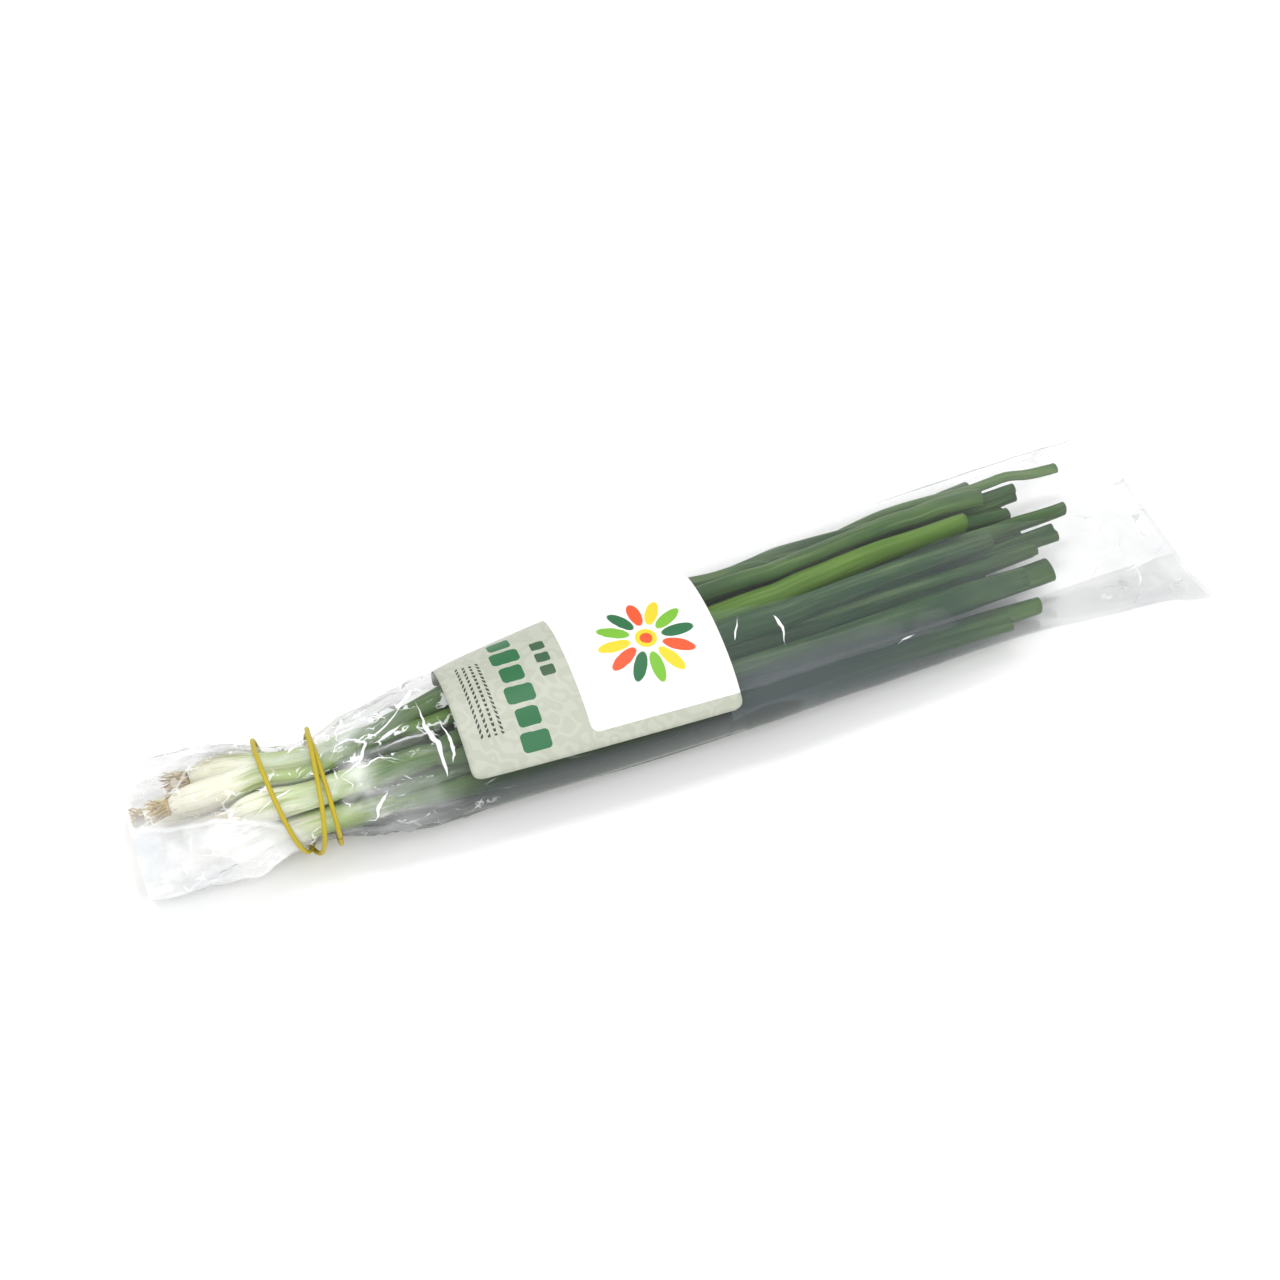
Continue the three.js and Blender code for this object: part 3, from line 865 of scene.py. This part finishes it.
class Look:
    """A material, its node tree and the shader that it ends in."""

    def __init__(self, name):
        self.material = bpy.data.materials.new(name)
        self.material.use_nodes = True
        self.tree = self.material.node_tree
        self.tree.nodes.clear()
        self.shader = self.node("ShaderNodeBsdfPrincipled")

    def connect(self, socket, value):
        if isinstance(value, Value):
            self.tree.links.new(value.socket, socket)
        elif isinstance(value, tuple) and len(value) == 3 and socket.type == "RGBA":
            socket.default_value = (*value, 1)
        else:
            socket.default_value = value

    def node(self, kind, inputs=None, output=0, **settings):
        made = self.tree.nodes.new(kind)
        for name, value in settings.items():
            setattr(made, name, value)
        for key, value in (inputs or {}).items():
            self.connect(made.inputs[key], value)
        if output is None:
            return [Value(self, socket) for socket in made.outputs]
        return Value(self, made.outputs[output])

    def set(self, **values):
        for name, value in values.items():
            self.connect(self.shader.socket.node.inputs[name.replace("_", " ")], value)

    def finish(self, shader=None):
        """Ends the material in a shader, which is its own one unless another is given."""
        inputs = {0: shader or self.shader}
        self.node("ShaderNodeOutputMaterial", inputs=inputs, output=None)
        return self.material

    def attribute(self, name, output="Vector"):
        return self.node("ShaderNodeAttribute", attribute_name=name, output=output)

    def split(self, vector):
        return self.node("ShaderNodeSeparateXYZ", inputs={0: vector}, output=None)

    def vector(self, x, y, z):
        return self.node("ShaderNodeCombineXYZ", inputs={0: x, 1: y, 2: z})

    def noise(self, place, scale=1.0, detail=3.0, roughness=0.5):
        inputs = {"Vector": place, "Scale": scale, "Detail": detail, "Roughness": roughness}
        return self.node("ShaderNodeTexNoise", inputs=inputs)

    def mix(self, factor, first, second):
        return self.node(
            "ShaderNodeMix",
            data_type="RGBA",
            inputs={0: factor, 6: first, 7: second},
            output=2,
        )

    def bump(self, height, distance, strength=1.0):
        inputs = {"Height": height, "Distance": distance, "Strength": strength}
        self.set(Normal=self.node("ShaderNodeBump", inputs=inputs))


def onion_look():
    look = Look("spring onion")
    along, y, z = look.split(look.attribute("straight"))
    tint = look.attribute("tint", "Fac")
    streaks = look.noise(look.vector(along * 0.02, y * 0.7, z * 0.7 + tint * 7), detail=2)
    fine = look.noise(look.vector(along * 0.04, y * 1.2, z * 1.2 + tint * 7), detail=1)
    blotch = look.noise(look.vector(along * 0.03, y * 0.1, z * 0.1 + tint * 9), detail=3)
    reach = along + (blotch - 0.5) * 60 + (streaks - 0.5) * 40
    white = (0.86, 0.85, 0.7)
    pale = (0.45, 0.57, 0.25)
    green = (0.1, 0.175, 0.065)
    deep = (0.022, 0.065, 0.016)
    bright = (0.09, 0.19, 0.014)
    colour = look.mix(reach.step(16, 40), white, pale)
    colour = look.mix(reach.step(40, 72), colour, green)
    grown = look.mix((tint * 0.7 + blotch * 1.6).step(0.7, 1.7), deep, (0.065, 0.14, 0.028))
    grown = look.mix(tint.step(1.4, 1.6) * (0.1 + blotch * 1.2).min(1), grown, bright)
    colour = look.mix(reach.step(74, 116), colour, grown)
    colour = look.mix((streaks - 0.48).max(0) * 1.3, colour, look.mix(0.4, colour, pale))
    colour = look.mix((0.45 - fine).max(0) * 1.5, colour, look.mix(0.5, colour, deep))
    skin = along.step(60, 25) * (streaks - 0.57).max(0) * 4
    colour = look.mix(skin.min(0.75), colour, (0.36, 0.24, 0.1))
    look.set(Base_Color=colour, Roughness=(0.58 - streaks * 0.16))
    look.set(Specular_IOR_Level=0.2)
    look.bump(streaks * 0.8 + fine * 0.2, 0.0005, 0.25)
    return look.finish()


def roots_look():
    look = Look("roots")
    place = look.node("ShaderNodeTexCoord", output="Object")
    grain = look.noise(place, scale=900, detail=3)
    patch = look.noise(place, scale=200, detail=2)
    colour = look.mix(grain, (0.36, 0.25, 0.09), (0.72, 0.58, 0.3))
    colour = look.mix(patch.step(0.52, 0.66), colour, (0.2, 0.12, 0.035))
    look.set(Base_Color=colour, Roughness=0.85)
    return look.finish()


def strokes(look, x, y, z, along, across, wobble, width):
    """Thin broken lines with tapered ends, 1 on a line and 0 between."""
    bent = look.vector(
        x * along + wobble * 1.4, y * across + wobble * 1.6, z * across - wobble * 1.5
    )
    edges = look.node(
        "ShaderNodeTexVoronoi",
        feature="DISTANCE_TO_EDGE",
        inputs={"Vector": bent, "Scale": 1.0},
    )
    present = look.noise(look.vector(x * along * 1.3, y * across, z * across + 5), detail=2)
    return (present.step(0.5, 0.75) * width - edges).step(0.0, width * 0.3)


def film_look():
    """Clear film: a mirror at glancing angles, veiled where layered, white where crumpled, with painted
    highlights and shade.
    """
    look = Look("clear film")
    place = look.node("ShaderNodeTexCoord", output="Object")
    x, y, z = look.split(place)
    veil_and_glint = look.attribute("veil_and_glint", "Fac")
    lift = look.attribute("lift", "Fac")
    gather = look.attribute("gather", "Fac")
    wobble = look.noise(look.vector(x * 70, y * 70, z * 70), detail=3)
    cloud = look.noise(look.vector(x * 14, y * 40, z * 40), detail=3)
    facets = look.node(
        "ShaderNodeTexVoronoi",
        feature="F1",
        inputs={"Vector": look.vector(x * 36 + wobble, y * 80 + wobble, z * 80), "Scale": 1.0},
    )
    across = look.noise(look.vector(x * 60, y * 9, z * 9), detail=1)
    glance = look.node("ShaderNodeFresnel", inputs={"IOR": 1.42})
    shine = (glance * 1.3 - 0.025).max(0.008).min(0.19)

    # Creases, painted white as highlights, lie where the film is gathered, and loosely at the root end.
    crumpled = (gather + x.step(-0.15, -0.18)).min(1)
    long_crease_highlights = strokes(look, x, y, z, 34, 62, wobble, 0.055) * crumpled
    short_crease_highlights = strokes(look, x, y, z, 90, 150, wobble, 0.08) * crumpled.power(3)

    # The loose skirt in front of the roots, with a faint hem along its upper edge.
    root_end = x.step(-0.15, -0.17)
    below_edge = y + (x + 0.206) * 0.43 + cloud * 0.012 + 0.013
    skirt = below_edge.step(0.008, -0.006) * root_end * (0.6 + cloud * 0.4)
    hem = below_edge.size().step(0.0016, 0.0002) * root_end * 0.22

    # Both open ends show a lip, and the mouth is loose and a little crumpled.
    loose = x.step(0.15, 0.19)
    mouth = x.step(-0.2, -0.217) * 0.15 + x.step(0.216, 0.2185) * 0.2
    mouth = mouth + loose * (cloud - 0.36).max(0) * 0.25
    mouth = mouth + loose * strokes(look, x, y, z, 45, 60, wobble, 0.06) * 0.4

    # Film behind the shanks and bulbs.
    behind = gather * y.step(-0.008, 0.01) * cloud * 0.16
    behind = behind + y.step(-0.001, 0.008) * x.step(-0.166, -0.18) * 0.4
    # Painted highlights: white crease lines, white patches where the film is gathered and white
    # crumples on top beside the band.
    crease_highlights = (long_crease_highlights * 0.85 + short_crease_highlights * 0.6) * x.step(-0.168, -0.19, 1, 0.35)
    crease_highlights = crease_highlights + gather.power(4) * (cloud * 2.6 - 1.25).max(0)
    beside_band = x.step(-0.155, -0.147) * x.step(-0.122, -0.14) * z.step(0.024, 0.032)
    crease_highlights = crease_highlights + beside_band * (wobble * 4.2 - 1.9).max(0).min(1) * 0.5
    haze = skirt + hem + mouth + behind + crease_highlights + lift.step(0.9, 3.6) * 0.16
    # Values above 1.2 mark the crease tubes, painted white as highlights; values up to 1 give the
    # second layer's veil.
    glint = veil_and_glint.step(1.2, 1.8)
    folded = veil_and_glint.min(1) * (1 - glint)

    # Painted shade on the film along the lower front, under the label, beside it and below the neck,
    # for the shadowed leaves seen through it.
    below_label = z.step(0.034, 0.024) * y.step(-0.02, -0.03) * x.step(-0.12, -0.08)
    beside_label = z.step(0.045, 0.033) * y.step(-0.026, -0.036) * x.step(0.0, 0.02)
    below_neck = z.step(0.027, 0.018) * y.step(-0.015, -0.025) * x.step(-0.165, -0.135)
    shade = below_label * x.step(0.06, 0.0) * 0.92 + beside_label * x.step(0.15, 0.03) * 0.46
    shade = shade.max(below_neck * x.step(-0.04, -0.09) * 0.62)
    shine = shine * (1 - shade * 0.75)

    haze = (haze + folded * (0.03 + cloud * 0.12) + glint * 0.9 + shade + 0.01).min(0.93)
    outline = glance.step(0.35, 0.9) * (1 - haze) * x.step(0.17, 0.1, 0.45, 1)
    crumpled_paint = look.mix(wobble.step(0.35, 0.65), (0.6, 0.62, 0.64), (0.84, 0.845, 0.83))
    paint = look.mix(skirt.max(loose * 0.7), (0.93, 0.94, 0.95), crumpled_paint)
    # The second layer's veil is painted dark blue-grey: partly the double film's own veil, partly
    # painted shade over the leaves beneath.
    paint = look.mix(folded, paint, (0.27, 0.33, 0.36))
    shadow_paint = look.mix(z.step(0.0, 0.03), (0.09, 0.11, 0.08), (0.045, 0.056, 0.056))
    paint = look.mix(shade / haze, paint, shadow_paint)
    paint = look.mix(outline, paint, (0.45, 0.46, 0.47))
    look.set(Base_Color=paint, Metallic=shine / (shine + haze), Roughness=0.09)
    rumple = crumpled * 0.75 + x.step(0.13, 0.18) * 0.2 + 0.03
    look.bump(facets * rumple + wobble * 0.06 + across * 0.3, 0.0035, 0.6)
    clear = look.node("ShaderNodeBsdfTransparent")
    seen = (shine + haze).min(1)
    return look.finish(look.node("ShaderNodeMixShader", inputs={0: seen, 1: clear, 2: look.shader}))


def band_look():
    look = Look("rubber")
    place = look.node("ShaderNodeTexCoord", output="Object")
    patch = look.noise(place, scale=60, detail=2)
    look.set(Base_Color=look.mix(patch, (0.36, 0.27, 0.006), (0.5, 0.4, 0.01)), Roughness=0.5)
    look.bump(look.noise(place, scale=1500, detail=2), 0.0002, 0.3)
    return look.finish()


def soft_box(u, v, centre, half, corner=0.0, blur=0.15):
    """1 inside a rectangle with round corners, in millimetres on the label."""
    du = ((u - centre[0]).size() - (half[0] - corner)).max(0)
    dv = ((v - centre[1]).size() - (half[1] - corner)).max(0)
    return ((du * du + dv * dv).power(0.5) - corner).step(blur, 0.0)


def oval(u, v, centre, half, turn=0.0, blur=0.08):
    """1 inside an ellipse that is turned by an angle in degrees."""
    cos, sin = math.cos(math.radians(turn)), math.sin(math.radians(turn))
    along = ((u - centre[0]) * cos + (v - centre[1]) * sin) / half[0]
    across = ((v - centre[1]) * cos - (u - centre[0]) * sin) / half[1]
    return ((along * along + across * across).power(0.5)).step(1 + blur, 1 - blur)


def paper_look():
    """Sage green paper with a white panel, a rosette, a column of tiles and rows of fine dashes."""
    look = Look("paper")
    u, v, _ = look.split(look.attribute("sheet"))
    sage = (0.4, 0.42, 0.345)
    light = (0.475, 0.495, 0.42)
    dark_green = (0.006, 0.12, 0.035)
    leaf_green = (0.16, 0.42, 0.02)
    yellow = (0.8, 0.55, 0.01)
    red = (0.7, 0.07, 0.008)
    swirl = look.noise(look.vector(u * 0.12, v * 0.12, 0.0), detail=1)
    rings = (swirl * 30).math("SINE")
    colour = look.mix(rings.step(-0.2, 0.5) * 0.5, sage, light)
    panel = soft_box(u, v, (80, 44), (33, 38), 3)
    colour = look.mix(panel, colour, (0.9, 0.9, 0.88))
    dashes = (v * 3.1 + (u * 2.1).math("SINE") * 2).math("SINE").step(-0.5, -0.2)
    for n in range(4):
        row = soft_box(u, v, (7.5 + 2.6 * n, 31), (0.45, 17)) * dashes
        colour = look.mix(row, colour, (0.02, 0.03, 0.02))
    for n in range(6):
        tile = soft_box(u, v, (26, 8.5 + 9.4 * n), (5.4 - 1.1 * (n % 2), 3.6), 1.6)
        colour = look.mix(tile, colour, dark_green)
    for n in range(3):
        tile = soft_box(u, v, (39, 34 + 6.5 * n), (2.6, 2.2), 0.8)
        colour = look.mix(tile, colour, (0.03, 0.09, 0.035))
    paints = (dark_green, leaf_green, yellow, red)
    rosette = (78, 36)
    reach = 12.5
    petals = 12
    for n in range(petals):
        turn = 360 * n / petals
        centre = (
            rosette[0] + reach * math.cos(math.radians(turn)),
            rosette[1] + reach * math.sin(math.radians(turn)),
        )
        colour = look.mix(oval(u, v, centre, (6.4, 2.5), turn), colour, paints[n % 4])
    colour = look.mix(oval(u, v, rosette, (4.2, 4.2)), colour, yellow)
    colour = look.mix(oval(u, v, rosette, (2.4, 2.4)), colour, red)
    look.set(Base_Color=colour, Roughness=0.45)
    place = look.node("ShaderNodeTexCoord", output="Object")
    look.bump(look.noise(place, scale=1200, detail=3), 0.0001, 0.25)
    return look.finish()


def dress(obj, material):
    obj.data.materials.clear()
    obj.data.materials.append(material)


plant_material = onion_look()
root_material = roots_look()
for plant, tuft in zip(onions[::2], onions[1::2]):
    dress(plant, plant_material)
    dress(tuft, root_material)
dress(film, film_look())
dress(band, band_look())
dress(label, paper_look())


# Floor, camera and light.

bpy.ops.object.select_all(action="DESELECT")
bpy.ops.mesh.primitive_plane_add(size=8)
floor = bpy.context.object
floor.name = "floor"
floor_look = Look("floor")
floor_look.set(Base_Color=(0.93, 0.93, 0.93), Roughness=0.9)
dress(floor, floor_look.finish())

azimuth = math.radians(-20.81)
elevation = math.radians(53.79)
distance = 724.9 * MM
target = Vector((-9.48 * MM, 18.77 * MM, 0))
back = Vector(
    (
        math.sin(azimuth) * math.cos(elevation),
        -math.cos(azimuth) * math.cos(elevation),
        math.sin(elevation),
    )
)
camera_data = bpy.data.cameras.new("camera")
camera = bpy.data.objects.new("camera", camera_data)
bpy.context.scene.collection.objects.link(camera)
camera_data.lens = 50
camera_data.sensor_width = 36
camera.location = target + back * distance
camera.rotation_euler = (-back).to_track_quat("-Z", "Y").to_euler()
bpy.context.scene.camera = camera


def area_light(name, place, aim, size, power):
    light = bpy.data.lights.new(name, "AREA")
    light.shape = "RECTANGLE"
    light.size, light.size_y = size
    light.energy = power
    obj = bpy.data.objects.new(name, light)
    obj.location = place
    obj.rotation_euler = (Vector(place) - Vector(aim)).to_track_quat("Z", "Y").to_euler()
    bpy.context.scene.collection.objects.link(obj)


area_light("left", (-0.28, 0.28, 1.15), (0, 0, 0), (0.2, 0.3), 2)
area_light("middle", (0.02, 0.3, 1.15), (0, 0, 0), (0.12, 0.3), 1.8)
area_light("fill", (0.1, -0.9, 1.2), (0, 0, 0), (1.6, 1.0), 10)
world = bpy.data.worlds.new("studio")
world.use_nodes = True
world.node_tree.nodes["Background"].inputs[0].default_value = (1, 1, 1, 1)
world.node_tree.nodes["Background"].inputs[1].default_value = 0.9
bpy.context.scene.world = world
bpy.context.scene.view_settings.view_transform = "Standard"
